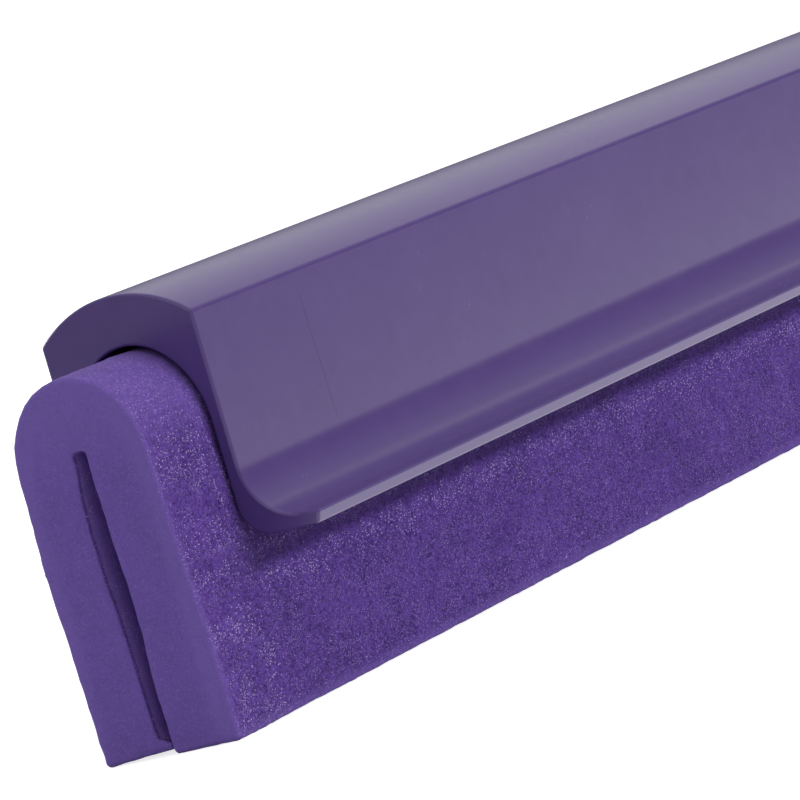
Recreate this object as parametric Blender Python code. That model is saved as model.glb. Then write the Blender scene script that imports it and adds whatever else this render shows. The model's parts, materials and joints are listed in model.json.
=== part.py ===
"""Refill cassette of a double-blade squeegee.

A strip of cellular rubber is folded lengthwise over a thin core strip and pushed into a bell-shaped plastic
rail. The fold fills the rail's channel, and the strip's two legs hang out of it as the front and rear lips.

Frame: X runs along the cassette, -Y is the front, +Z is up. The origin lies on the surface that the lips
stand on, midway along the cassette and midway between the lips. Lengths are in metres, angles in degrees.
"""

import math

import bmesh
import bpy

# Lengths along X.
BLADE_LENGTH = 0.250
END_OVERHANG = 0.013
RAIL_LENGTH = BLADE_LENGTH - 2 * END_OVERHANG
CORE_LENGTH = RAIL_LENGTH - 0.004

# Running gap between solids that touch on the real object.
GAP = 0.0003

# Rail section.
OVERALL_HEIGHT = 0.045
CROWN_RISE = 0.0034
WALL_FACE_Y = 0.00925
FLARE_RADIUS = 0.0050
LIP_REACH_Y = 0.0170
LIP_TOP_Z = 0.01915
LIP_UNDERSIDE_Z = 0.0180
MOUTH_RADIUS = 0.0035
CHANNEL_HALF_WIDTH = 0.00775
CHANNEL_SPRING_Z = 0.0303
CHANNEL_CROWN_Z = 0.03965

# Folded strip section.
FOLD_CROWN_Z = 0.03905
FOLD_HALF_WIDTH = CHANNEL_HALF_WIDTH - GAP
FOLD_FOOT_Z = 0.0208
SLOT_TOP_Z = 0.0320
SLOT_HALF_WIDTH = 0.0010

# Lips, which bend about an axis a little below the rail's mouth.
BEND_AXIS_Z = 0.0170
HEEL_RADIUS = FOLD_HALF_WIDTH
SEAT_RADIUS = HEEL_RADIUS + GAP
LIP_HALF_WIDTH = 0.0078
LIP_SHOULDER_Z = 0.0150
LIP_EDGE_CHAMFER = 0.0003
LIPS_PART_Z = 0.0012
LIPS_OPEN_Z = 0.0080

# Core strip, which stands in the top of the fold.
CORE_HALF_THICKNESS = SLOT_HALF_WIDTH - GAP
CORE_BOTTOM_Z = BEND_AXIS_Z + SEAT_RADIUS + GAP
CORE_TOP_Z = SLOT_TOP_Z - GAP

RAIL_COLOUR = (0.127, 0.102, 0.231, 1.0)
FOAM_COLOUR = (0.089, 0.048, 0.223, 1.0)
CORE_COLOUR = (0.60, 0.60, 0.58, 1.0)


def clear_scene():
    """Removes whatever the open file holds."""
    for obj in list(bpy.data.objects):
        bpy.data.objects.remove(obj, do_unlink=True)


def arc(centre, radii, start, end, steps):
    """Points of a circle's or an ellipse's arc in the YZ plane, both ends included."""
    points = []
    for step in range(steps + 1):
        angle = math.radians(start + (end - start) * step / steps)
        points.append((centre[0] + radii[0] * math.cos(angle), centre[1] + radii[1] * math.sin(angle)))
    return points


def mirrored(points):
    """The points on the other side of the Y = 0 plane, in the opposite order."""
    return [(-y, z) for y, z in reversed(points)]


def both_sides(half):
    """A closed outline from the half at +Y, without doubling the points that lie on Y = 0."""
    other = [point for point in mirrored(half) if abs(point[0]) > 1e-9]
    return half + other


def angle_at_height(radius, height):
    """Angle above horizontal at which a circle's point lies this far above its centre."""
    return math.degrees(math.asin(height / radius))


def rail_outline():
    """Bell section: crown, straight wall, flared lip with a round edge, and the channel inside."""
    crown_radius = (WALL_FACE_Y**2 + CROWN_RISE**2) / (2 * CROWN_RISE)
    crown_angle = math.degrees(math.asin(WALL_FACE_Y / crown_radius))
    crown_centre = (0.0, OVERALL_HEIGHT - crown_radius)
    flare_centre = (WALL_FACE_Y + FLARE_RADIUS, LIP_TOP_Z + FLARE_RADIUS)
    edge_radius = (LIP_TOP_Z - LIP_UNDERSIDE_Z) / 2
    edge_centre = (LIP_REACH_Y - edge_radius, LIP_UNDERSIDE_Z + edge_radius)
    mouth_centre = (CHANNEL_HALF_WIDTH + MOUTH_RADIUS, LIP_UNDERSIDE_Z + MOUTH_RADIUS)
    channel_radii = (CHANNEL_HALF_WIDTH, CHANNEL_CROWN_Z - CHANNEL_SPRING_Z)

    half = arc(crown_centre, (crown_radius, crown_radius), 90, 90 - crown_angle, 10)
    half += arc(flare_centre, (FLARE_RADIUS, FLARE_RADIUS), 180, 270, 10)
    half += arc(edge_centre, (edge_radius, edge_radius), 90, -90, 6)
    half += arc(mouth_centre, (MOUTH_RADIUS, MOUTH_RADIUS), 270, 180, 8)
    half += arc((0.0, CHANNEL_SPRING_Z), channel_radii, 0, 90, 14)
    return both_sides(half)


def fold_outline():
    """The gripped part of the strip: a tall arch with the slot's top, seated on the lips' round heels."""
    foot_angle = angle_at_height(SEAT_RADIUS, FOLD_FOOT_Z - BEND_AXIS_Z)
    slot_angle = math.degrees(math.acos(SLOT_HALF_WIDTH / SEAT_RADIUS))
    crown_radii = (FOLD_HALF_WIDTH, FOLD_CROWN_Z - CHANNEL_SPRING_Z)

    half = arc((0.0, CHANNEL_SPRING_Z), crown_radii, 90, 0, 14)
    half.append((FOLD_HALF_WIDTH, FOLD_FOOT_Z))
    half += arc((0.0, BEND_AXIS_Z), (SEAT_RADIUS, SEAT_RADIUS), foot_angle, slot_angle, 10)
    half += arc((0.0, SLOT_TOP_Z - SLOT_HALF_WIDTH), (SLOT_HALF_WIDTH, SLOT_HALF_WIDTH), 0, 90, 4)
    return both_sides(half)


def lip_outline():
    """The rear lip: a round heel under the fold, a straight leg, and a square working edge."""
    slot_angle = math.degrees(math.acos(SLOT_HALF_WIDTH / HEEL_RADIUS))
    outline = arc((0.0, BEND_AXIS_Z), (HEEL_RADIUS, HEEL_RADIUS), slot_angle, 0, 12)
    outline.append((LIP_HALF_WIDTH, LIP_SHOULDER_Z))
    outline.append((LIP_HALF_WIDTH, LIP_EDGE_CHAMFER))
    outline.append((LIP_HALF_WIDTH - LIP_EDGE_CHAMFER, 0.0))
    outline.append((GAP / 2, 0.0))
    outline.append((GAP / 2, LIPS_PART_Z))
    outline.append((SLOT_HALF_WIDTH, LIPS_OPEN_Z))
    return outline


def core_outline():
    """A thin upright strip with a rounded upper edge."""
    top = arc(
        (0.0, CORE_TOP_Z - CORE_HALF_THICKNESS),
        (CORE_HALF_THICKNESS, CORE_HALF_THICKNESS),
        0,
        180,
        6,
    )
    return top + [(-CORE_HALF_THICKNESS, CORE_BOTTOM_Z), (CORE_HALF_THICKNESS, CORE_BOTTOM_Z)]


def make_material(name, colour, roughness):
    """A Principled BSDF material of one colour."""
    material = bpy.data.materials.new(name)
    material.use_nodes = True
    shader = material.node_tree.nodes["Principled BSDF"]
    shader.inputs["Base Color"].default_value = colour
    shader.inputs["Roughness"].default_value = roughness
    shader.inputs["Metallic"].default_value = 0.0
    return material


def prism(name, outline, length, material, axis_z=0.0):
    """A closed bar of this YZ outline, centred on X = 0. Its origin lies on the X axis at height axis_z."""
    mesh = bpy.data.meshes.new(name)
    body = bmesh.new()
    near_end = [body.verts.new((-length / 2, y, z - axis_z)) for y, z in outline]
    cap = body.faces.new(near_end)
    swept = bmesh.ops.extrude_face_region(body, geom=[cap])["geom"]
    far_end = [item for item in swept if isinstance(item, bmesh.types.BMVert)]
    bmesh.ops.translate(body, verts=far_end, vec=(length, 0.0, 0.0))
    bmesh.ops.recalc_face_normals(body, faces=body.faces)
    body.to_mesh(mesh)
    body.free()
    mesh.shade_smooth()
    mesh.set_sharp_from_angle(angle=math.radians(30))
    mesh.materials.append(material)
    obj = bpy.data.objects.new(name, mesh)
    bpy.context.scene.collection.objects.link(obj)
    obj.location = (0.0, 0.0, axis_z)
    return obj


def build_holder():
    """The rail, with the fold and the core strip that it grips."""
    rail_plastic = make_material("rail_plastic", RAIL_COLOUR, 0.42)
    foam = make_material("cellular_rubber", FOAM_COLOUR, 0.9)
    core_plastic = make_material("core_plastic", CORE_COLOUR, 0.5)
    prism("holder_rail", rail_outline(), RAIL_LENGTH, rail_plastic)
    prism("core_strip", core_outline(), CORE_LENGTH, core_plastic)
    prism("blade_fold", fold_outline(), BLADE_LENGTH, foam)
    return foam


def build_lips(foam):
    """The two legs of the strip, which bend together about one axis below the rail's mouth."""
    axis = bpy.data.objects.new("bend_axis", None)
    bpy.context.scene.collection.objects.link(axis)
    axis.location = (0.0, 0.0, BEND_AXIS_Z)
    rear = lip_outline()
    for name, outline in (("rear_lip", rear), ("front_lip", mirrored(rear))):
        lip = prism(name, outline, BLADE_LENGTH, foam, axis_z=BEND_AXIS_Z)
        lip.location = (0.0, 0.0, 0.0)
        lip.parent = axis


def main():
    """Builds the cassette at rest."""
    clear_scene()
    foam = build_holder()
    build_lips(foam)


main()
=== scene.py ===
"""Looks of a double-blade squeegee refill cassette: satin rail, folded cellular-rubber blade, core strip."""

import json
import logging
import math
from collections.abc import Callable, Iterable
from dataclasses import dataclass
from enum import Enum

import bmesh
import bpy
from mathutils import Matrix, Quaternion, Vector


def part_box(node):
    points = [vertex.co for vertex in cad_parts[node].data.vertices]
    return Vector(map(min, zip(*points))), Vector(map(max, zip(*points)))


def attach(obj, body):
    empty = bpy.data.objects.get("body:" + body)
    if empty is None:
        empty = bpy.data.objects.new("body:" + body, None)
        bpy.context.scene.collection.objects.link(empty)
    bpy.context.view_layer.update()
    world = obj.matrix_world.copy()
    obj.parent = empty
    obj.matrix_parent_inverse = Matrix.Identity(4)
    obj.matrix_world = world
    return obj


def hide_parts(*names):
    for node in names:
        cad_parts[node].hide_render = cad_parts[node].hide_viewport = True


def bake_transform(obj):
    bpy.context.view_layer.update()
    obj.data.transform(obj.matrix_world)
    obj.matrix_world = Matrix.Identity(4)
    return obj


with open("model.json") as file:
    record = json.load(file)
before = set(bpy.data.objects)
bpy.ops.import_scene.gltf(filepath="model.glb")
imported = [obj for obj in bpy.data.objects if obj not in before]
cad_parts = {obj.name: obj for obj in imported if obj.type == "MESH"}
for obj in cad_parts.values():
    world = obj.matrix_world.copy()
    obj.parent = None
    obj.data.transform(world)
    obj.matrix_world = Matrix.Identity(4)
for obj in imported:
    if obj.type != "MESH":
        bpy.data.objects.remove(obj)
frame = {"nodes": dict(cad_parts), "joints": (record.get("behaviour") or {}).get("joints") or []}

LOG = logging.getLogger("cassette")
MM = 0.001

# Where the camera aims: X is measured from the rail's near end.
TARGET_PAST_RAIL_END = 12.643 * MM
TARGET_Y = -22.08 * MM
TARGET_Z = 26.68 * MM

HOLDER_BODY = "cassette"


class Axis(Enum):
    """The directions that the pieces are worked along."""

    LENGTH = 0
    DEPTH = 1
    HEIGHT = 2


class Side(Enum):
    """The two legs of the blade, by the sign of their Y."""

    FRONT = -1
    REAR = 1


def smooth_step(low: float, high: float, value: float) -> float:
    """Rises smoothly from 0 at low to 1 at high.

    Args:
        low: Value at which the step starts.
        high: Value at which the step ends.
        value: Value to place on the step.

    Returns:
        A share from 0 to 1.
    """
    share = min(1.0, max(0.0, (value - low) / (high - low)))
    return share * share * (3 - 2 * share)


def mix(start: float, end: float, share: float) -> float:
    """The value that lies this share of the way from start to end."""
    return start + (end - start) * share


def along_table(table: Iterable[tuple[float, float]], height: float) -> float:
    """Reads a smooth line through a few (height, value) pairs.

    Args:
        table: Pairs in rising order of height.
        height: Height to read the line at.

    Returns:
        The value there, held level past either end.
    """
    pairs = list(table)
    if height <= pairs[0][0]:
        return pairs[0][1]
    if height >= pairs[-1][0]:
        return pairs[-1][1]
    index = max(place for place, pair in enumerate(pairs[:-1]) if pair[0] <= height)
    (low, before), (high, after) = pairs[index : index + 2]
    step, rise = high - low, after - before
    share = (height - low) / step
    start, end = step * table_slope(pairs, index), step * table_slope(pairs, index + 1)
    square_part = 3 * rise - 2 * start - end
    cube_part = start + end - 2 * rise
    return before + share * start + share**2 * square_part + share**3 * cube_part


def table_slope(pairs: list[tuple[float, float]], index: int) -> float:
    """Slope of the smooth line at one pair.

    Args:
        pairs: Pairs in rising order of height.
        index: Which pair.

    Returns:
        The harmonic mean of the slopes on both sides, and 0 at a peak or at an end.
    """
    if index in (0, len(pairs) - 1):
        return 0.0
    left, here, right = pairs[index - 1 : index + 2]
    before = (here[1] - left[1]) / (here[0] - left[0])
    after = (right[1] - here[1]) / (right[0] - here[0])
    return 2 * before * after / (before + after) if before * after > 0 else 0.0


# ---------------------------------------------------------------------------------------------------------
# Modelling
# ---------------------------------------------------------------------------------------------------------


def select_only(piece: bpy.types.Object) -> None:
    """Makes piece the only selected object, and the active one."""
    bpy.ops.object.select_all(action="DESELECT")
    piece.select_set(True)
    bpy.context.view_layer.objects.active = piece


def enter_edit(piece: bpy.types.Object, mode: str = "VERT") -> None:
    """Opens piece in edit mode with nothing selected.

    Args:
        piece: Mesh object to work on.
        mode: Kind of element that selections are made of.
    """
    select_only(piece)
    bpy.ops.object.mode_set(mode="EDIT")
    bpy.ops.mesh.select_mode(type=mode)
    bpy.ops.mesh.select_all(action="DESELECT")


def leave_edit() -> None:
    """Goes back to object mode."""
    bpy.ops.object.mode_set(mode="OBJECT")


def pick_edges(piece: bpy.types.Object, wanted: Callable[[Vector, Vector], bool]) -> None:
    """Selects the edges whose two ends pass a test, in edit mode.

    Args:
        piece: Mesh object that is open in edit mode.
        wanted: Takes the two ends of an edge, in metres, and says if it is picked.
    """
    work = bmesh.from_edit_mesh(piece.data)
    for edge in work.edges:
        edge.select = wanted(edge.verts[0].co, edge.verts[1].co)
    work.select_flush_mode()
    bmesh.update_edit_mesh(piece.data)


def apply_modifier(piece: bpy.types.Object, kind: str, **settings: object) -> None:
    """Adds one modifier to piece and applies it.

    Args:
        piece: Mesh object.
        kind: Blender's name of the modifier type.
        **settings: Properties of the modifier, by name.
    """
    select_only(piece)
    modifier = piece.modifiers.new(kind.lower(), kind)
    for name, value in settings.items():
        setattr(modifier, name, value)
    bpy.ops.object.modifier_apply(modifier=modifier.name)


class SectionPen:
    """Draws an outline in a plane of constant X by extruding and spinning one vertex."""

    def __init__(self, name: str, plane_x: float, start: tuple[float, float]) -> None:
        """Starts the outline.

        Args:
            name: Name of the object that the outline becomes.
            plane_x: X of the outline's plane.
            start: Y and Z of the first point.
        """
        self.plane_x = plane_x
        self.at = start
        bpy.ops.object.select_all(action="DESELECT")
        bpy.ops.mesh.primitive_plane_add(size=1 * MM, location=(plane_x, *start))
        self.piece = bpy.context.active_object
        self.piece.name = name
        self.piece.data.name = name
        bpy.ops.object.transform_apply(location=True, rotation=True, scale=True)
        bpy.ops.object.mode_set(mode="EDIT")
        bpy.ops.mesh.select_mode(type="VERT")
        bpy.ops.mesh.select_all(action="SELECT")
        bpy.ops.mesh.merge(type="CENTER")

    def line_to(self, point: tuple[float, float]) -> None:
        """Draws a straight stroke to point."""
        step = (0.0, point[0] - self.at[0], point[1] - self.at[1])
        bpy.ops.mesh.extrude_region_move(TRANSFORM_OT_translate={"value": step})
        self.at = point

    def through(self, points: Iterable[tuple[float, float]]) -> None:
        """Draws strokes through each point in turn."""
        for point in points:
            self.line_to(point)

    def arc(self, centre: tuple[float, float], sweep: float, steps: int) -> None:
        """Spins the last point about centre.

        Args:
            centre: Y and Z of the arc's centre.
            sweep: Angle in degrees, positive from +Y towards +Z.
            steps: Number of strokes that the arc is made of.
        """
        turn = math.radians(sweep)
        bpy.ops.mesh.spin(
            steps=steps, angle=-turn, center=(self.plane_x, *centre), axis=(1.0, 0.0, 0.0)
        )
        arm = (self.at[0] - centre[0], self.at[1] - centre[1])
        self.at = (
            centre[0] + arm[0] * math.cos(turn) - arm[1] * math.sin(turn),
            centre[1] + arm[0] * math.sin(turn) + arm[1] * math.cos(turn),
        )

    def close(self) -> bpy.types.Object:
        """Mirrors the half outline to the other side of Y = 0, fills it, and returns the flat section."""
        leave_edit()
        apply_modifier(
            self.piece,
            "MIRROR",
            use_axis=(False, True, False),
            use_mirror_merge=True,
            merge_threshold=1e-5,
        )
        enter_edit(self.piece)
        bpy.ops.mesh.select_all(action="SELECT")
        bpy.ops.mesh.remove_doubles(threshold=1e-6)
        bpy.ops.mesh.edge_face_add()
        return self.piece


def finish_surface(piece: bpy.types.Object, angle: float) -> None:
    """Turns the faces outwards and smooths all edges flatter than angle, in degrees."""
    select_only(piece)
    bpy.ops.object.mode_set(mode="EDIT")
    bpy.ops.mesh.select_all(action="SELECT")
    bpy.ops.mesh.normals_make_consistent(inside=False)
    bpy.ops.object.mode_set(mode="OBJECT")
    bpy.ops.object.shade_smooth_by_angle(angle=math.radians(angle))


# ---------------------------------------------------------------------------------------------------------
# Shader nodes
# ---------------------------------------------------------------------------------------------------------


class NodeSheet:
    """A node tree that is laid out from left to right as nodes are added."""

    def __init__(self, tree: bpy.types.NodeTree) -> None:
        """Wraps tree."""
        self.tree = tree
        self.count = 0

    def add(
        self, kind: str, inputs: dict[str | int, object] | None = None, **settings: object
    ) -> bpy.types.Node:
        """Adds one node.

        Args:
            kind: Blender's type name of the node.
            inputs: Socket name or index to a constant, or to the output socket that feeds it.
            **settings: Properties of the node, by name.

        Returns:
            The new node.
        """
        node = self.tree.nodes.new(kind)
        node.location = (180 * self.count, -60 * (self.count % 5))
        self.count += 1
        for name, value in settings.items():
            setattr(node, name, value)
        for socket, value in (inputs or {}).items():
            self.set(node, socket, value)
        return node

    def set(self, node: bpy.types.Node, socket: str | int, value: object) -> None:
        """Links value to the socket if it is an output socket, or sets it as a constant."""
        if isinstance(value, bpy.types.NodeSocket):
            self.tree.links.new(value, node.inputs[socket])
        else:
            node.inputs[socket].default_value = value

    def math(
        self, operation: str, first: object, second: object = 0.0, clamp: bool = False
    ) -> bpy.types.NodeSocket:
        """The output of one Math node."""
        inputs = {0: first, 1: second}
        node = self.add("ShaderNodeMath", inputs, operation=operation, use_clamp=clamp)
        return node.outputs[0]

    def ramp(
        self, value: object, low: float, high: float, start: float = 0.0, end: float = 1.0
    ) -> bpy.types.NodeSocket:
        """A smooth step from start to end, as value goes from low to high."""
        inputs = {"Value": value, "From Min": low, "From Max": high, "To Min": start, "To Max": end}
        node = self.add("ShaderNodeMapRange", inputs, interpolation_type="SMOOTHSTEP")
        return node.outputs["Result"]

    def noise(self, place: object, scale: object, detail: float) -> bpy.types.NodeSocket:
        """Soft random values round 0.5."""
        node = self.add("ShaderNodeTexNoise", {"Vector": place, "Scale": scale, "Detail": detail})
        return node.outputs["Fac"]

    def cells(self, place: object, scale: object) -> bpy.types.NodeOutputs:
        """Random cells: the distance from each one's middle, and a colour of its own."""
        inputs = {"Vector": place, "Scale": scale, "Randomness": 1.0}
        return self.add("ShaderNodeTexVoronoi", inputs).outputs

    def attribute(self, name: str) -> bpy.types.NodeSocket:
        """One number per point, which the model wrote."""
        return self.add("ShaderNodeAttribute", attribute_name=name).outputs["Fac"]

    def share_of(self, mask: object, share: float) -> bpy.types.NodeSocket:
        """A mask weakened to this share of itself."""
        return self.math("MULTIPLY", mask, share)

    def blend(self, share: object, first: object, second: object) -> bpy.types.NodeSocket:
        """A colour between first and second."""
        node = self.add("ShaderNodeMix", data_type="RGBA", clamp_factor=True)
        self.set(node, 0, share)
        self.set(node, 6, first)
        self.set(node, 7, second)
        return node.outputs[2]


class SharedEffect:
    """A shader node group with named inputs and outputs, built once and used by several finishes."""

    def __init__(self, name: str, inputs: dict[str, object], outputs: dict[str, str]) -> None:
        """Makes the group's sockets.

        Args:
            name: Name of the group.
            inputs: Input name to its default value. "Vector" has None.
            outputs: Output name to its socket type.
        """
        self.tree = bpy.data.node_groups.new(name, "ShaderNodeTree")
        for title, value in inputs.items():
            kind = "NodeSocketVector" if value is None else "NodeSocketFloat"
            socket = self.tree.interface.new_socket(title, in_out="INPUT", socket_type=kind)
            if value is not None:
                socket.default_value = value
        for title, kind in outputs.items():
            self.tree.interface.new_socket(title, in_out="OUTPUT", socket_type=kind)
        self.sheet = NodeSheet(self.tree)
        self.source = self.sheet.add("NodeGroupInput").outputs
        self.result = self.sheet.add("NodeGroupOutput")

    def give(self, title: str, value: object) -> None:
        """Feeds one output of the group."""
        self.sheet.set(self.result, title, value)

    def place(self, sheet: NodeSheet, inputs: dict[str | int, object]) -> bpy.types.NodeOutputs:
        """Places the group in a material and returns its outputs."""
        node = sheet.add("ShaderNodeGroup", node_tree=self.tree)
        for title, value in inputs.items():
            sheet.set(node, title, value)
        return node.outputs


@dataclass(frozen=True)
class CellLayer:
    """One size of foam cell: how much finer it is, its share of the whole, and how many don't glint."""

    finer: float
    share: float
    dull_share: float


CELL_LAYERS = (CellLayer(1.0, 0.6, 0.45), CellLayer(1.7, 0.4, 0.6))
SPECK_LEAST_SIZE = 0.35


def make_mottle() -> SharedEffect:
    """Soft uneven tone of moulded plastic and of foam, at two sizes."""
    effect = SharedEffect(
        "soft_mottle",
        {"Vector": None, "Size mm": 8.0, "Fine Size mm": 1.5, "Contrast": 1.0},
        {"Tone": "NodeSocketFloat"},
    )
    sheet, source = effect.sheet, effect.source
    coarse_scale = sheet.math("DIVIDE", 1000.0, source["Size mm"])
    fine_scale = sheet.math("DIVIDE", 1000.0, source["Fine Size mm"])
    coarse = sheet.noise(source["Vector"], coarse_scale, 3.0)
    fine = sheet.noise(source["Vector"], fine_scale, 2.0)
    both = sheet.math("ADD", coarse, fine)
    centred = sheet.math("SUBTRACT", both, 1.0)
    effect.give("Tone", sheet.math("MULTIPLY", centred, source["Contrast"]))
    return effect


def make_specks() -> SharedEffect:
    """Scattered small specks: one dot in a share of the cells, at a random place and size."""
    effect = SharedEffect(
        "scattered_specks",
        {"Vector": None, "Spacing mm": 2.0, "Radius": 0.1, "Share": 0.3},
        {"Mask": "NodeSocketFloat"},
    )
    sheet, source = effect.sheet, effect.source
    scale = sheet.math("DIVIDE", 1000.0, source["Spacing mm"])
    cells = sheet.cells(source["Vector"], scale)
    pick = sheet.add("ShaderNodeSeparateColor", {"Color": cells["Color"]}).outputs
    kept = sheet.math("LESS_THAN", pick["Red"], source["Share"])
    reach = sheet.math("MULTIPLY", source["Radius"], sheet.math("ADD", pick["Green"], SPECK_LEAST_SIZE))
    nearness = sheet.math("SUBTRACT", 1.0, sheet.math("DIVIDE", cells["Distance"], reach), clamp=True)
    effect.give("Mask", sheet.math("MULTIPLY", sheet.ramp(nearness, 0.0, 0.5), kept))
    return effect


def make_cells() -> SharedEffect:
    """Cut face of fine cellular rubber: hollow cells with a random tone of their own, darkened towards each
    cell's middle as painted shade in the hollow, and in some a painted glint.
    """
    effect = SharedEffect(
        "cut_cells",
        {"Vector": None, "Cell mm": 0.4, "Stretch": 0.7},
        {"Tone": "NodeSocketFloat", "Height": "NodeSocketFloat", "Glint": "NodeSocketFloat"},
    )
    sheet, source = effect.sheet, effect.source
    squash = sheet.add("ShaderNodeCombineXYZ", {"X": source["Stretch"], "Y": 1.0, "Z": 1.0})
    stretched = {0: source["Vector"], 1: squash.outputs[0]}
    place = sheet.add("ShaderNodeVectorMath", stretched, operation="MULTIPLY").outputs[0]
    scale = sheet.math("DIVIDE", 1000.0, source["Cell mm"])
    tone, height, glint = 0.0, 0.0, 0.0
    for layer in CELL_LAYERS:
        cells = sheet.cells(place, sheet.math("MULTIPLY", scale, layer.finer))
        pick = sheet.add("ShaderNodeSeparateColor", {"Color": cells["Color"]}).outputs
        # Painted shade: the tone is darkest at each cell's middle, where the hollow dips, and lighter
        # towards its walls.
        hollow = sheet.ramp(cells["Distance"], 0.1, 0.8)
        lit = sheet.math("ADD", sheet.share_of(hollow, 0.5), 0.6)
        own = sheet.math("MULTIPLY", pick["Red"], lit)
        tone = sheet.math("ADD", tone, sheet.share_of(own, layer.share))
        height = sheet.math("ADD", height, sheet.share_of(hollow, layer.share))
        # Painted highlights: a light dot in a share of the cells, which the finish paints into the base
        # colour.
        dot = sheet.math("SUBTRACT", 1.0, sheet.ramp(cells["Distance"], 0.1, 0.42))
        strength = sheet.ramp(pick["Green"], layer.dull_share, 1.05)
        glint = sheet.math("MAXIMUM", glint, sheet.math("MULTIPLY", dot, strength))
    effect.give("Tone", tone)
    effect.give("Height", height)
    effect.give("Glint", glint)
    return effect


@dataclass(frozen=True)
class Effects:
    """The effects that the finishes share."""

    mottle: SharedEffect
    specks: SharedEffect
    cells: SharedEffect


def start_material(name: str) -> tuple[bpy.types.Material, NodeSheet, bpy.types.NodeSocket]:
    """Makes an empty material.

    Args:
        name: Name of the material.

    Returns:
        The material, its sheet of nodes, and the socket that gives object coordinates.
    """
    material = bpy.data.materials.new(name)
    material.use_nodes = True
    material.node_tree.nodes.clear()
    sheet = NodeSheet(material.node_tree)
    place = sheet.add("ShaderNodeTexCoord").outputs["Object"]
    return material, sheet, place


def end_material(sheet: NodeSheet, inputs: dict[str | int, object]) -> None:
    """Adds the Principled BSDF with these inputs, and the material's output."""
    shader = sheet.add("ShaderNodeBsdfPrincipled", inputs)
    sheet.add("ShaderNodeOutputMaterial", {"Surface": shader.outputs[0]})


Colour = tuple[float, float, float, float]
WHITE: Colour = (1.0, 1.0, 1.0, 1.0)


@dataclass(frozen=True)
class RailPlastic:
    """Satin moulded polypropylene."""

    colour: Colour = (0.097, 0.057, 0.230, 1.0)
    shade: Colour = (0.087, 0.050, 0.210, 1.0)
    mark: Colour = (0.050, 0.030, 0.130, 1.0)
    roughness: float = 0.25
    mark_x: float = -0.0899
    mark_slant: float = -0.03
    mark_wander: float = 0.0005
    mark_low_z: float = 0.0238
    mark_high_z: float = 0.0420
    mark_low_fade: float = 0.004
    mark_high_fade: float = 0.006
    mark_strength: float = 0.55
    mark_half_width: tuple[float, float] = (0.00005, 0.00026)
    uneven_roughness: float = 0.05
    wave_over_grain: float = 6.0

    def build(self, effects: Effects) -> bpy.types.Material:
        """Makes the material.

        Args:
            effects: Shared effects.

        Returns:
            The finished material.
        """
        material, sheet, place = start_material("rail_plastic")
        uneven = {"Vector": place, "Size mm": 14.0, "Fine Size mm": 2.2, "Contrast": 1.4}
        tone = effects.mottle.place(sheet, uneven)["Tone"]
        share = sheet.math("ADD", tone, 0.5, clamp=True)
        colour = sheet.blend(share, self.shade, self.colour)
        mark = sheet.share_of(self.weld_mark(sheet, place), self.mark_strength)
        colour = sheet.blend(mark, colour, self.mark)
        rough = sheet.math("ADD", sheet.share_of(tone, self.uneven_roughness), self.roughness)
        grain = sheet.noise(place, 5200.0, 2.0)
        wave = sheet.noise(place, 120.0, 1.0)
        height = sheet.math("ADD", grain, sheet.math("MULTIPLY", wave, self.wave_over_grain))
        bump = sheet.add("ShaderNodeBump", {"Height": height, "Strength": 0.35, "Distance": 0.00001})
        end_material(
            sheet,
            {
                "Base Color": colour,
                "Roughness": rough,
                "Normal": bump.outputs["Normal"],
                "IOR": 1.49,
                "Metallic": 0.0,
            },
        )
        return material

    def weld_mark(self, sheet: NodeSheet, place: bpy.types.NodeSocket) -> bpy.types.NodeSocket:
        """A hair-thin upright line on the front wall, near one end, that fades at both its ends."""
        parts = sheet.add("ShaderNodeSeparateXYZ", {"Vector": place}).outputs
        noise = sheet.noise(place, 260.0, 2.0)
        wander = sheet.math("MULTIPLY", sheet.math("SUBTRACT", noise, 0.5), self.mark_wander)
        lean = sheet.math("ADD", sheet.math("MULTIPLY", parts["Z"], self.mark_slant), wander)
        from_mark = sheet.math("SUBTRACT", parts["X"], self.mark_x)
        off = sheet.math("ABSOLUTE", sheet.math("SUBTRACT", from_mark, lean))
        line = sheet.math("SUBTRACT", 1.0, sheet.ramp(off, *self.mark_half_width))
        line = sheet.math("MULTIPLY", line, sheet.ramp(noise, 0.25, 0.6))
        above = sheet.ramp(parts["Z"], self.mark_low_z, self.mark_low_z + self.mark_low_fade)
        fade = sheet.ramp(parts["Z"], self.mark_high_z - self.mark_high_fade, self.mark_high_z)
        below = sheet.math("SUBTRACT", 1.0, fade)
        front = sheet.math("LESS_THAN", parts["Y"], 0.0)
        on_wall = sheet.math("MULTIPLY", line, front)
        return sheet.math("MULTIPLY", on_wall, sheet.math("MULTIPLY", above, below))


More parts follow.
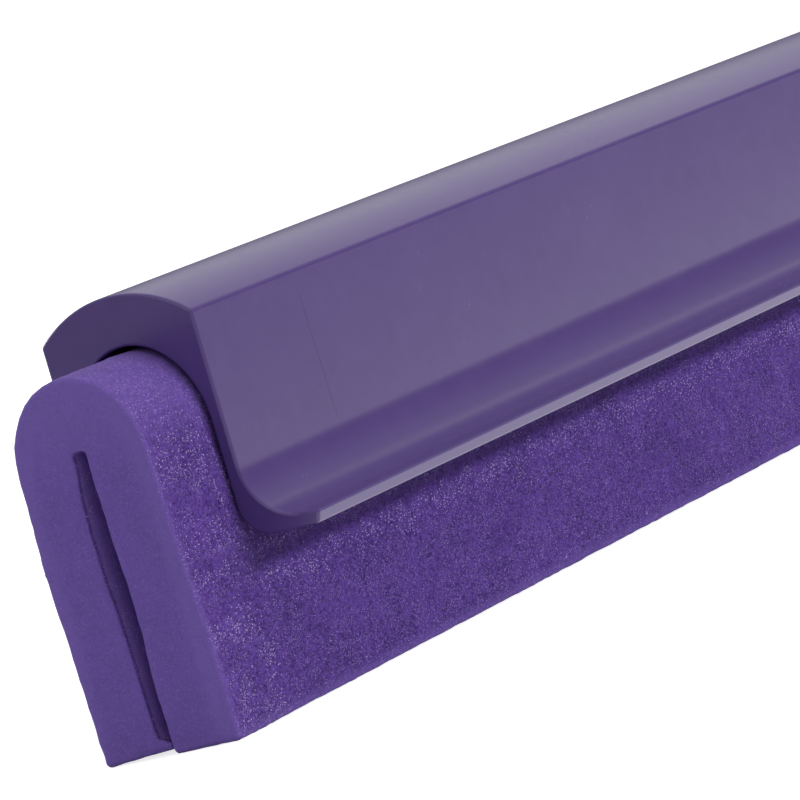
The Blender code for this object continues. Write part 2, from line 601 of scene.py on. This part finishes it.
@dataclass(frozen=True)
class CellularRubber:
    """Matt closed-cell foam rubber with fine cut cells, duller on the end faces, with painted glints and
    specks, painted shade in the pores, and painted light on its rims, top and slot walls.
    """

    colour: Colour = (0.153, 0.068, 0.395, 1.0)
    # Dark end of the tone: random cell tone and painted shade in the pores.
    pit: Colour = (0.037, 0.013, 0.126, 1.0)
    # Painted highlight colour of the glints and the specks.
    light: Colour = (0.66, 0.54, 0.90, 1.0)
    # Painted light: the lighter colour of the rims, the bottom edges and the top of the fold.
    rim: Colour = (0.230, 0.145, 0.520, 1.0)
    end: Colour = (0.205, 0.132, 0.525, 1.0)
    # Painted light: the lighter colour of the slot's walls, standing in for light inside the recess.
    slot: Colour = (0.390, 0.250, 0.760, 1.0)
    roughness: float = 0.85
    end_share: float = 0.58
    slot_light_share: float = 0.7
    rim_light_share: float = 0.4
    speck_highlight_share: float = 0.45
    end_glint: float = 0.2
    skin_glint: float = 0.7
    rim_calm: float = 0.5
    glint_polish: float = 0.4

    def build(self, effects: Effects) -> bpy.types.Material:
        """Makes the material.

        Args:
            effects: Shared effects.

        Returns:
            The finished material.
        """
        material, sheet, place = start_material("cellular_rubber")
        cells = effects.cells.place(sheet, {"Vector": place, "Cell mm": 0.25})
        uneven = {"Vector": place, "Size mm": 6.0, "Fine Size mm": 1.1, "Contrast": 0.5}
        mottle = effects.mottle.place(sheet, uneven)
        share = sheet.math("ADD", cells["Tone"], mottle["Tone"], clamp=True)
        cut_end, slot_wall, rim = (sheet.attribute(name) for name in ("cut_end", "slot_wall", "rim"))
        colour = sheet.blend(share, self.pit, self.colour)
        colour = sheet.blend(sheet.share_of(cut_end, self.end_share), colour, self.end)
        # Painted light: the slot's walls lightened deeper in, standing in for light inside the recess.
        colour = sheet.blend(sheet.share_of(slot_wall, self.slot_light_share), colour, self.slot)
        # Painted light: rims, bottom edges and the fold's top lightened, as where light falls on them.
        colour = sheet.blend(sheet.share_of(rim, self.rim_light_share), colour, self.rim)
        # Painted highlights: glints painted into the base colour, fainter on the cut end faces and on the
        # rims.
        skin = sheet.math("SUBTRACT", 1.0, cut_end)
        reach = sheet.math("ADD", sheet.share_of(skin, self.skin_glint), self.end_glint)
        calm = sheet.math("SUBTRACT", 1.0, sheet.share_of(rim, self.rim_calm))
        glint = sheet.math("MULTIPLY", cells["Glint"], sheet.math("MULTIPLY", reach, calm))
        colour = sheet.blend(glint, colour, self.light)
        # Painted highlights: scattered specks lightened towards the highlight colour.
        scatter = {"Vector": place, "Spacing mm": 2.6, "Radius": 0.07, "Share": 0.35}
        specks = effects.specks.place(sheet, scatter)["Mask"]
        colour = sheet.blend(sheet.share_of(specks, self.speck_highlight_share), colour, self.light)
        rough = sheet.math("SUBTRACT", self.roughness, sheet.share_of(glint, self.glint_polish))
        fine = sheet.noise(place, 9000.0, 2.0)
        height = sheet.math("ADD", cells["Height"], sheet.share_of(fine, 0.4))
        bump = sheet.add("ShaderNodeBump", {"Height": height, "Strength": 0.7, "Distance": 0.00006})
        end_material(
            sheet,
            {
                "Base Color": colour,
                "Roughness": rough,
                "Normal": bump.outputs["Normal"],
                "IOR": 1.36,
                "Metallic": 0.0,
                "Sheen Weight": 0.05,
                "Sheen Roughness": 0.5,
                "Sheen Tint": (0.72, 0.62, 1.0, 1.0),
            },
        )
        return material


@dataclass(frozen=True)
class CorePlastic:
    """Plain natural polypropylene strip."""

    colour: Colour = (0.56, 0.55, 0.52, 1.0)
    shade: Colour = (0.44, 0.43, 0.41, 1.0)
    roughness: float = 0.5
    speck_roughness: float = 0.2

    def build(self, effects: Effects) -> bpy.types.Material:
        """Makes the material.

        Args:
            effects: Shared effects.

        Returns:
            The finished material.
        """
        material, sheet, place = start_material("core_plastic")
        uneven = {"Vector": place, "Size mm": 5.0, "Fine Size mm": 0.8, "Contrast": 1.2}
        tone = effects.mottle.place(sheet, uneven)["Tone"]
        colour = sheet.blend(sheet.math("ADD", tone, 0.5, clamp=True), self.shade, self.colour)
        scatter = {"Vector": place, "Spacing mm": 3.0, "Radius": 0.06, "Share": 0.2}
        specks = effects.specks.place(sheet, scatter)["Mask"]
        rough = sheet.math("ADD", sheet.share_of(specks, self.speck_roughness), self.roughness)
        grain = sheet.noise(place, 3000.0, 2.0)
        bump = sheet.add("ShaderNodeBump", {"Height": grain, "Strength": 0.3, "Distance": 0.00002})
        end_material(sheet, {"Base Color": colour, "Roughness": rough, "Normal": bump.outputs["Normal"]})
        return material


# ---------------------------------------------------------------------------------------------------------
# Sub-assemblies
# ---------------------------------------------------------------------------------------------------------


@dataclass
class HolderRail:
    """Bell-section rail: arched crown, straight walls, flared lips, and the channel that holds the foam."""

    length: float
    height: float
    reach: float
    wall_face: float = 9.25 * MM
    crown_rise: float = 3.4 * MM
    flare_radius: float = 6.0 * MM
    lip_top: float = 19.2 * MM
    lip_fall: float = 0.08 * MM
    lip_underside: float = 17.8 * MM
    lip_undercut: float = 0.5 * MM
    lip_corner_radius: float = 1.6 * MM
    mouth_radius: float = 3.5 * MM
    channel_half_width: float = 7.75 * MM
    channel_spring: float = 30.3 * MM
    channel_crown: float = 39.65 * MM
    edge_round: float = 0.3 * MM
    crown_steps: int = 14
    flare_steps: int = 20
    mouth_steps: int = 14
    channel_steps: int = 24
    sharp_angle: float = 38.0
    smooth_before: float = 40.0
    smooth_after: float = 45.0
    slack: float = 0.01 * MM

    def model(self) -> bpy.types.Object:
        """Draws the section, sweeps it along X, and rounds the lips' corners, then the other edges."""
        piece = self.draw_section()
        bpy.ops.mesh.select_all(action="SELECT")
        bpy.ops.mesh.extrude_region_move(TRANSFORM_OT_translate={"value": (self.length, 0.0, 0.0)})
        pick_edges(piece, self.is_lip_corner)
        bpy.ops.mesh.bevel(offset=self.lip_corner_radius, segments=6, profile=0.5)
        leave_edit()
        finish_surface(piece, self.smooth_before)
        apply_modifier(
            piece,
            "BEVEL",
            width=self.edge_round,
            segments=5,
            limit_method="ANGLE",
            angle_limit=math.radians(self.sharp_angle),
            use_clamp_overlap=False,
        )
        finish_surface(piece, self.smooth_after)
        apply_modifier(piece, "WEIGHTED_NORMAL", keep_sharp=True, weight=90)
        return piece

    def draw_section(self) -> bpy.types.Object:
        """The outline at one end, left open in edit mode as one flat face."""
        crown_radius = (self.wall_face**2 + self.crown_rise**2) / (2 * self.crown_rise)
        crown_angle = math.degrees(math.asin(self.wall_face / crown_radius))
        pen = SectionPen("rail_shell", -self.length / 2, (0.0, self.height))
        pen.arc((0.0, self.height - crown_radius), -crown_angle, self.crown_steps)
        flare_z = self.lip_top + self.flare_radius
        pen.line_to((self.wall_face, flare_z))
        pen.arc((self.wall_face + self.flare_radius, flare_z), 90.0, self.flare_steps)
        pen.line_to((self.reach, self.lip_top - self.lip_fall))
        pen.line_to((self.reach - self.lip_undercut, self.lip_underside))
        mouth_y = self.channel_half_width + self.mouth_radius
        pen.line_to((mouth_y, self.lip_underside))
        pen.arc((mouth_y, self.lip_underside + self.mouth_radius), -90.0, self.mouth_steps)
        pen.through(self.channel_points())
        return pen.close()

    def channel_points(self) -> list[tuple[float, float]]:
        """Half of the channel's arch, from its springing to its crown."""
        rise = self.channel_crown - self.channel_spring
        points = []
        for step in range(self.channel_steps + 1):
            turn = math.radians(90 * step / self.channel_steps)
            height = self.channel_spring + rise * math.sin(turn)
            points.append((self.channel_half_width * math.cos(turn), height))
        points[-1] = (0.0, self.channel_crown)
        return points

    def is_lip_corner(self, a: Vector, b: Vector) -> bool:
        """True for the edge from a to b if it is an upright corner at the end of a lip's tip."""
        outermost = min(abs(a.y), abs(b.y)) > self.reach - self.lip_undercut - self.slack
        return outermost and abs(a.x - b.x) < self.slack

    def dress(self, piece: bpy.types.Object, effects: Effects) -> None:
        """Gives the rail its satin plastic."""
        piece.data.materials.clear()
        piece.data.materials.append(RailPlastic().build(effects))

    def mount(self, piece: bpy.types.Object) -> None:
        """Puts the rail on the cassette's body in place of its plain solid."""
        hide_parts("holder_rail")
        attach(piece, HOLDER_BODY)


LegTable = tuple[tuple[float, float], ...]


@dataclass
class FoamStrip:
    """One flat strip of cellular rubber, folded lengthwise so that its two legs hang as the blade.

    The leg tables hold pairs of height and half width, both in millimetres. skin_bumps holds each
    layer's name, size and strength. grip_ends is measured outwards from the rail's ends.
    """

    length: float
    rail_length: float
    thickness: float = 6.9 * MM
    unfolded_width: float = 78.0 * MM
    bend_share: float = 0.17
    crown: float = 39.1 * MM
    spring: float = 30.3 * MM
    slot_top: float = 31.6 * MM
    slot_round: float = 0.45 * MM
    slot_half_width: float = 0.78 * MM
    outer_rim: float = 0.4 * MM
    inner_rim: float = 0.25 * MM
    corner_rim: float = 0.6 * MM
    squeeze: float = 0.22 * MM
    spread: float = 0.16 * MM
    cells_across: int = 10
    cells_round: int = 98
    cells_along: tuple[int, int] = (99, 2)
    slot_squareness: float = 0.75
    rear_edge: tuple[float, float] = (0.62 * MM, 0.02 * MM)
    front_edge: tuple[float, float] = (0.0, 0.05 * MM)
    grip_ends: tuple[float, float] = (-0.5 * MM, 4.0 * MM)
    grip_heights: tuple[float, float] = (16.0 * MM, 21.0 * MM)
    usual_half_width: float = 7.8 * MM
    bend_above: float = 3.5 * MM
    bend_below: float = 9.0 * MM
    floor_gap: float = 0.01 * MM
    skin_half_width: float = 7.2 * MM
    arch_low: float = 25.0 * MM
    arch_rise: float = 13.5 * MM
    # Heights and share over which the fold's top is painted lighter, as painted light from above.
    top_heights: tuple[float, float] = (27.0 * MM, 37.0 * MM)
    top_light_share: float = 0.9
    outer_rear: LegTable = ((0.0, 7.35), (5.0, 7.45), (13.0, 7.68), (20.0, 7.88), (30.3, 7.62))
    outer_front: LegTable = ((0.0, 8.38), (8.0, 8.42), (14.0, 8.24), (20.0, 7.85), (30.3, 7.62))
    inner_rear: LegTable = (
        (0.75, -0.75),
        (1.15, -0.7),
        (1.75, 0.5),
        (2.8, 0.72),
        (12.0, 0.88),
        (21.0, 1.3),
        (26.0, 1.25),
        (30.9, 0.72),
    )
    inner_front: LegTable = ((0.5, 0.85), (7.0, 0.72), (14.0, 1.1), (22.0, 0.85), (30.9, 0.72))
    skin_bumps: tuple[tuple[str, float, float], ...] = (
        ("coarse_skin", 3.2 * MM, 0.16 * MM),
        ("fine_skin", 1.0 * MM, 0.15 * MM),
    )

    def model(self) -> bpy.types.Object:
        """Lays the strip out flat, rounds its rims, cuts it into cells, folds it and roughens its skin."""
        piece = self.lay_flat()
        self.round_rims(piece)
        self.subdivide(piece)
        self.space_slices(piece)
        self.fold(piece)
        finish_surface(piece, 180.0)
        self.mark_rims(piece)
        self.roughen(piece)
        return piece

    def lay_flat(self) -> bpy.types.Object:
        """The flat strip, lying on the XY plane."""
        bpy.ops.object.select_all(action="DESELECT")
        bpy.ops.mesh.primitive_cube_add(size=1.0, location=(0.0, 0.0, self.thickness / 2))
        piece = bpy.context.active_object
        piece.name = "foam_strip"
        piece.data.name = "foam_strip"
        piece.scale = (self.length, self.unfolded_width, self.thickness)
        bpy.ops.object.transform_apply(location=True, rotation=True, scale=True)
        return piece

    def round_rims(self, piece: bpy.types.Object) -> None:
        """Rounds the flat strip's edges: softly on the outside, less where the slot will be."""
        half = self.thickness / 2
        enter_edit(piece, "EDGE")
        pick_edges(piece, lambda a, b: abs(a.z - b.z) > half)
        bpy.ops.mesh.bevel(offset=self.corner_rim, segments=3, profile=0.5)
        for rim, is_outer in ((self.outer_rim, True), (self.inner_rim, False)):
            pick_edges(piece, lambda a, b: (a.z > half) == is_outer and self.on_boundary(a, b))
            bpy.ops.mesh.bevel(offset=rim, segments=5 if is_outer else 3, profile=0.5)
        leave_edit()

    def on_boundary(self, a: Vector, b: Vector) -> bool:
        """True if a level edge of the flat strip lies on the strip's boundary, seen from above."""
        middle = (a + b) / 2
        past_x = abs(middle.x) > self.length / 2 - self.corner_rim
        past_y = abs(middle.y) > self.unfolded_width / 2 - self.corner_rim
        return (past_x or past_y) and abs(a.z - b.z) < 0.001 * MM

    def subdivide(self, piece: bpy.types.Object) -> None:
        """Cuts the strip into cells round its fold, through its thickness and along its length."""
        enter_edit(piece, "EDGE")
        self.cut_along(piece, Axis.DEPTH, self.cells_round, 10 * MM)
        self.cut_along(piece, Axis.HEIGHT, self.cells_across, 2 * MM)
        for cuts in self.cells_along:
            self.cut_along(piece, Axis.LENGTH, cuts, 1 * MM)
        leave_edit()

    def cut_along(self, piece: bpy.types.Object, axis: Axis, cuts: int, longer_than: float) -> None:
        """Subdivides every long edge that runs along one axis.

        Args:
            piece: The strip, open in edit mode.
            axis: The direction of the edges to cut.
            cuts: Number of cuts in each.
            longer_than: Shortest length that is cut.
        """
        straight = 0.95

        def runs_along(a: Vector, b: Vector) -> bool:
            stroke = b - a
            return abs(stroke[axis.value]) > max(longer_than, straight * stroke.length)

        pick_edges(piece, runs_along)
        bpy.ops.mesh.subdivide(number_cuts=cuts, smoothness=0.0)

    def space_slices(self, piece: bpy.types.Object) -> None:
        """Moves the slices along X so that they lie closer near the ends than in the middle."""
        half = self.length / 2 - self.outer_rim
        for vertex in piece.data.vertices:
            share = abs(vertex.co.x) / half
            if share < 1:
                eased = 1.5 * share - 0.5 * share * share
                vertex.co.x = math.copysign(half * eased, vertex.co.x)

    def leg_edge(self, table: LegTable, height: float) -> float:
        """Half width in metres at this height, from a table in millimetres."""
        return along_table(table, height / MM) * MM

    def working_edge(self, side: Side, through: float) -> float:
        """Height of the cut lower edge, which tilts a little across each leg."""
        inner, outer = self.rear_edge if side is Side.REAR else self.front_edge
        return mix(inner, outer, through)

    def folded(self, point: Vector) -> Vector:
        """Where a point of the flat strip ends up on the folded one."""
        side = Side.REAR if point.y >= 0 else Side.FRONT
        outer_table = self.outer_rear if side is Side.REAR else self.outer_front
        inner_table = self.inner_rear if side is Side.REAR else self.inner_front
        through = point.z / self.thickness
        share = abs(point.y) / (self.unfolded_width / 2)
        slot_spring = self.slot_top - self.slot_round
        if share < self.bend_share:
            turn = math.radians(90 * share / self.bend_share)
            outer = (
                self.leg_edge(outer_table, self.spring) * math.sin(turn),
                self.spring + (self.crown - self.spring) * math.cos(turn),
            )
            inner = (
                self.slot_half_width * math.sin(turn) ** self.slot_squareness,
                slot_spring + self.slot_round * math.cos(turn) ** self.slot_squareness,
            )
        else:
            down = (share - self.bend_share) / (1 - self.bend_share)
            low = self.working_edge(side, through)
            outer_z = mix(self.spring, low, down)
            inner_z = mix(slot_spring, low, down)
            outer = (self.leg_edge(outer_table, outer_z), outer_z)
            inner = (self.leg_edge(inner_table, inner_z), inner_z)
        y = mix(inner[0], outer[0], through) * side.value
        z = mix(inner[1], outer[1], through)
        return Vector((point.x, y, z))

    def squeezed(self, point: Vector) -> Vector:
        """Presses the foam in where the rail's channel grips it, and leaves it free past the rail's ends."""
        free = smooth_step(*self.grip_ends, abs(point.x) - self.rail_length / 2)
        inside = smooth_step(*self.grip_heights, point.z)
        growth = mix(-self.squeeze * inside, self.spread, free)
        point.y *= 1 + growth / self.usual_half_width
        return point

    def fold(self, piece: bpy.types.Object) -> None:
        """Folds the flat strip over the core."""
        for vertex in piece.data.vertices:
            vertex.co = self.squeezed(self.folded(vertex.co))
        piece.data.update()

    def mark_rims(self, piece: bpy.types.Object) -> None:
        """Writes the rims, the cut end faces and the slot into the attributes that the finish reads; the
        finish paints the rims and the slot walls lighter, as painted light.
        """
        masks = {"rim": self.lit_rim_at, "cut_end": self.cut_end_at, "slot_wall": self.slot_wall_at}
        for name, mask in masks.items():
            attribute = piece.data.attributes.new(name, "FLOAT", "POINT")
            for index, vertex in enumerate(piece.data.vertices):
                attribute.data[index].value = mask(vertex.co)

    def end_gap(self, point: Vector) -> float:
        """Distance along X from the nearer end of the strip."""
        return self.length / 2 - abs(point.x)

    def lit_rim_at(self, point: Vector) -> float:
        """1 on the rims of the ends and legs and over the top of the fold, fading to 0 away from them: where
        the finish paints lighter rims, bottom edges and top as painted light.
        """
        across = abs(point.y) / self.skin_half_width
        upward = max(0.0, (point.z - self.arch_low) / self.arch_rise)
        on_skin = smooth_step(0.75, 1.0, math.hypot(across, upward))
        end = (1 - smooth_step(0.3 * MM, 1.2 * MM, self.end_gap(point))) * on_skin
        edge = 1 - smooth_step(0.4 * MM, 1.4 * MM, point.z)
        top = self.top_light_share * smooth_step(*self.top_heights, point.z)
        return max(end, edge, top)

    def cut_end_at(self, point: Vector) -> float:
        """1 on the cut end faces."""
        return 1 - smooth_step(0.02 * MM, 0.3 * MM, self.end_gap(point))

    def slot_wall_at(self, point: Vector) -> float:
        """1 on the walls of the slot, past their first fraction of a millimetre, where the finish paints the
        walls lighter as painted light inside the recess.
        """
        in_slot = abs(point.y) < 1.9 * MM and 1.5 * MM < point.z < self.slot_top + 0.2 * MM
        return smooth_step(0.3 * MM, 0.8 * MM, self.end_gap(point)) if in_slot else 0.0

    def roughen(self, piece: bpy.types.Object) -> None:
        """Gives the skin the small bumps and dips of cut foam, at two sizes."""
        for name, size, strength in self.skin_bumps:
            texture = bpy.data.textures.new(name, "CLOUDS")
            texture.noise_scale = size
            texture.noise_depth = 2
            apply_modifier(
                piece,
                "DISPLACE",
                texture=texture,
                texture_coords="LOCAL",
                strength=strength,
                mid_level=0.5,
            )
        for vertex in piece.data.vertices:
            vertex.co.z = max(vertex.co.z, self.floor_gap)

    def dress(self, piece: bpy.types.Object, effects: Effects) -> None:
        """Gives the strip its cellular rubber."""
        piece.data.materials.clear()
        piece.data.materials.append(CellularRubber().build(effects))

    def mount(self, piece: bpy.types.Object, bend_axis: Vector) -> None:
        """Hides the solids of the fold and the lips that the strip stands in for, and bakes its placement
        into its mesh.
        """
        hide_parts("blade_fold", "front_lip", "rear_lip")
        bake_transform(piece)


@dataclass
class CoreStrip:
    """The thin strip inside the fold. Its solid is kept, and only dressed."""

    node: str = "core_strip"

    def dress(self, effects: Effects) -> None:
        """Gives the strip its plain plastic."""
        piece = frame["nodes"][self.node]
        finish = CorePlastic().build(effects)
        for slot in piece.material_slots:
            slot.material = finish


# ---------------------------------------------------------------------------------------------------------
# Studio
# ---------------------------------------------------------------------------------------------------------


@dataclass(frozen=True)
class Softbox:
    """One large rectangular light, which smooth surfaces may mirror or not."""

    name: str
    place: tuple[float, float, float]
    size: tuple[float, float]
    power: float
    mirrored: bool = True


@dataclass
class Studio:
    """Pale floor, soft lights, and the camera.

    The floor's glow lights glossy reflections only, within glow_reach of the object's middle line.
    sky_rise holds the heights between which the sky brightens, and sky_light its strength at each.
    """

    target: Vector
    azimuth: float = -59.608
    elevation: float = 4.563
    roll: float = -16.389
    distance: float = 0.6052
    lens: float = 270.48
    floor_size: float = 60.0
    floor_grey: Colour = (0.6, 0.6, 0.6, 1.0)
    floor_seen: float = 0.78
    floor_glow: float = 1.15
    glow_reach: tuple[float, float] = (0.06, 0.22)
    sky_rise: tuple[float, float] = (0.05, 0.62)
    sky_light: tuple[float, float] = (0.15, 0.45)
    sky_seen: float = 1.05
    softboxes: tuple[Softbox, ...] = (
        Softbox("overhead", (0.1, 0.0, 1.1), (1.2, 1.2), 2.7),
        Softbox("front", (0.3, -1.13, 0.45), (0.9, 0.16), 8.5, mirrored=False),
        Softbox("left", (-1.0, 0.1, 0.5), (0.6, 0.6), 1.35),
        Softbox("behind", (1.02, 0.34, 0.52), (0.8, 0.45), 0.52),
        Softbox("rear", (-0.1, 1.2, 0.5), (0.9, 0.4), 4.0),
    )

    def build(self) -> None:
        """Sets up everything round the object."""
        self.lay_floor()
        for box in self.softboxes:
            self.hang(box)
        self.light_sky()
        self.aim_camera()
        bpy.context.scene.view_settings.view_transform = "Standard"

    def lay_floor(self) -> None:
        """A plain pale floor, which the camera sees a little brighter than the object does."""
        bpy.ops.object.select_all(action="DESELECT")
        bpy.ops.mesh.primitive_plane_add(size=self.floor_size, location=(0.0, 0.0, 0.0))
        floor = bpy.context.active_object
        floor.name = "studio_floor"
        material, sheet, place = start_material("pale_floor")
        rays = sheet.add("ShaderNodeLightPath").outputs
        parts = sheet.add("ShaderNodeSeparateXYZ", {"Vector": place}).outputs
        off = sheet.math("ABSOLUTE", parts["Y"])
        near = sheet.math("SUBTRACT", 1.0, sheet.ramp(off, *self.glow_reach))
        mirrored = sheet.math("MULTIPLY", rays["Is Glossy Ray"], near)
        glow = sheet.share_of(mirrored, self.floor_glow)
        seen = sheet.share_of(rays["Is Camera Ray"], self.floor_seen)
        end_material(
            sheet,
            {
                "Base Color": self.floor_grey,
                "Roughness": 0.9,
                "Specular IOR Level": 0.0,
                "Emission Color": WHITE,
                "Emission Strength": sheet.math("ADD", seen, glow),
            },
        )
        floor.data.materials.append(material)

    def hang(self, box: Softbox) -> None:
        """Hangs one softbox, turned to the object."""
        light = bpy.data.lights.new(box.name, "AREA")
        light.shape = "RECTANGLE"
        light.size, light.size_y = box.size
        light.energy = box.power
        lamp = bpy.data.objects.new(box.name, light)
        lamp.visible_glossy = box.mirrored
        bpy.context.scene.collection.objects.link(lamp)
        lamp.location = box.place
        lamp.rotation_euler = (self.target - lamp.location).to_track_quat("-Z", "Y").to_euler()

    def light_sky(self) -> None:
        """White surroundings that light the object mostly from above, and look plain white to the camera."""
        world = bpy.data.worlds.new("studio_sky")
        bpy.context.scene.world = world
        world.use_nodes = True
        world.node_tree.nodes.clear()
        sheet = NodeSheet(world.node_tree)
        seen = sheet.add("ShaderNodeLightPath").outputs["Is Camera Ray"]
        direction = sheet.add("ShaderNodeTexCoord").outputs["Generated"]
        rise = sheet.add("ShaderNodeSeparateXYZ", {"Vector": direction}).outputs["Z"]
        dome = sheet.ramp(rise, *self.sky_rise, *self.sky_light)
        unseen = sheet.math("MULTIPLY", dome, sheet.math("SUBTRACT", 1.0, seen))
        strength = sheet.math("ADD", unseen, sheet.share_of(seen, self.sky_seen))
        sky = sheet.add("ShaderNodeBackground", {"Color": WHITE, "Strength": strength})
        sheet.add("ShaderNodeOutputWorld", {"Surface": sky.outputs[0]})

    def aim_camera(self) -> None:
        """Looks along the cassette from its near end, a little from above, with the camera rolled."""
        turn, tilt = math.radians(self.azimuth), math.radians(self.elevation)
        level = math.cos(tilt)
        back = Vector((math.sin(turn) * level, -math.cos(turn) * level, math.sin(tilt)))
        data = bpy.data.cameras.new("camera")
        data.lens = self.lens
        data.clip_start, data.clip_end = 0.01, 200.0
        camera = bpy.data.objects.new("camera", data)
        bpy.context.scene.collection.objects.link(camera)
        camera.location = self.target + back * self.distance
        upright = back.to_track_quat("Z", "Y")
        camera.rotation_mode = "QUATERNION"
        camera.rotation_quaternion = upright @ Quaternion((0.0, 0.0, 1.0), math.radians(self.roll))
        bpy.context.scene.camera = camera


def main() -> None:
    """Builds the cassette and its studio, piece by piece."""
    logging.basicConfig(level=logging.INFO, format="%(name)s: %(message)s")
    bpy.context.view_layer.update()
    rail_low, rail_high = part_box("holder_rail")
    fold_low, fold_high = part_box("blade_fold")
    effects = Effects(make_mottle(), make_specks(), make_cells())

    Studio(Vector((rail_low.x + TARGET_PAST_RAIL_END, TARGET_Y, TARGET_Z))).build()
    LOG.info("studio ready")

    rail = HolderRail(rail_high.x - rail_low.x, rail_high.z, rail_high.y)
    shell = rail.model()
    rail.dress(shell, effects)
    rail.mount(shell)
    LOG.info("%s: %d faces", shell.name, len(shell.data.polygons))

    foam = FoamStrip(fold_high.x - fold_low.x, rail.length)
    strip = foam.model()
    foam.dress(strip, effects)
    bend_axis = Vector(frame["joints"][0]["pos_m"])
    foam.mount(strip, bend_axis)
    LOG.info("%s: %d faces", strip.name, len(strip.data.polygons))

    CoreStrip().dress(effects)
    LOG.info("core strip dressed")


if __name__ == "__main__":
    main()
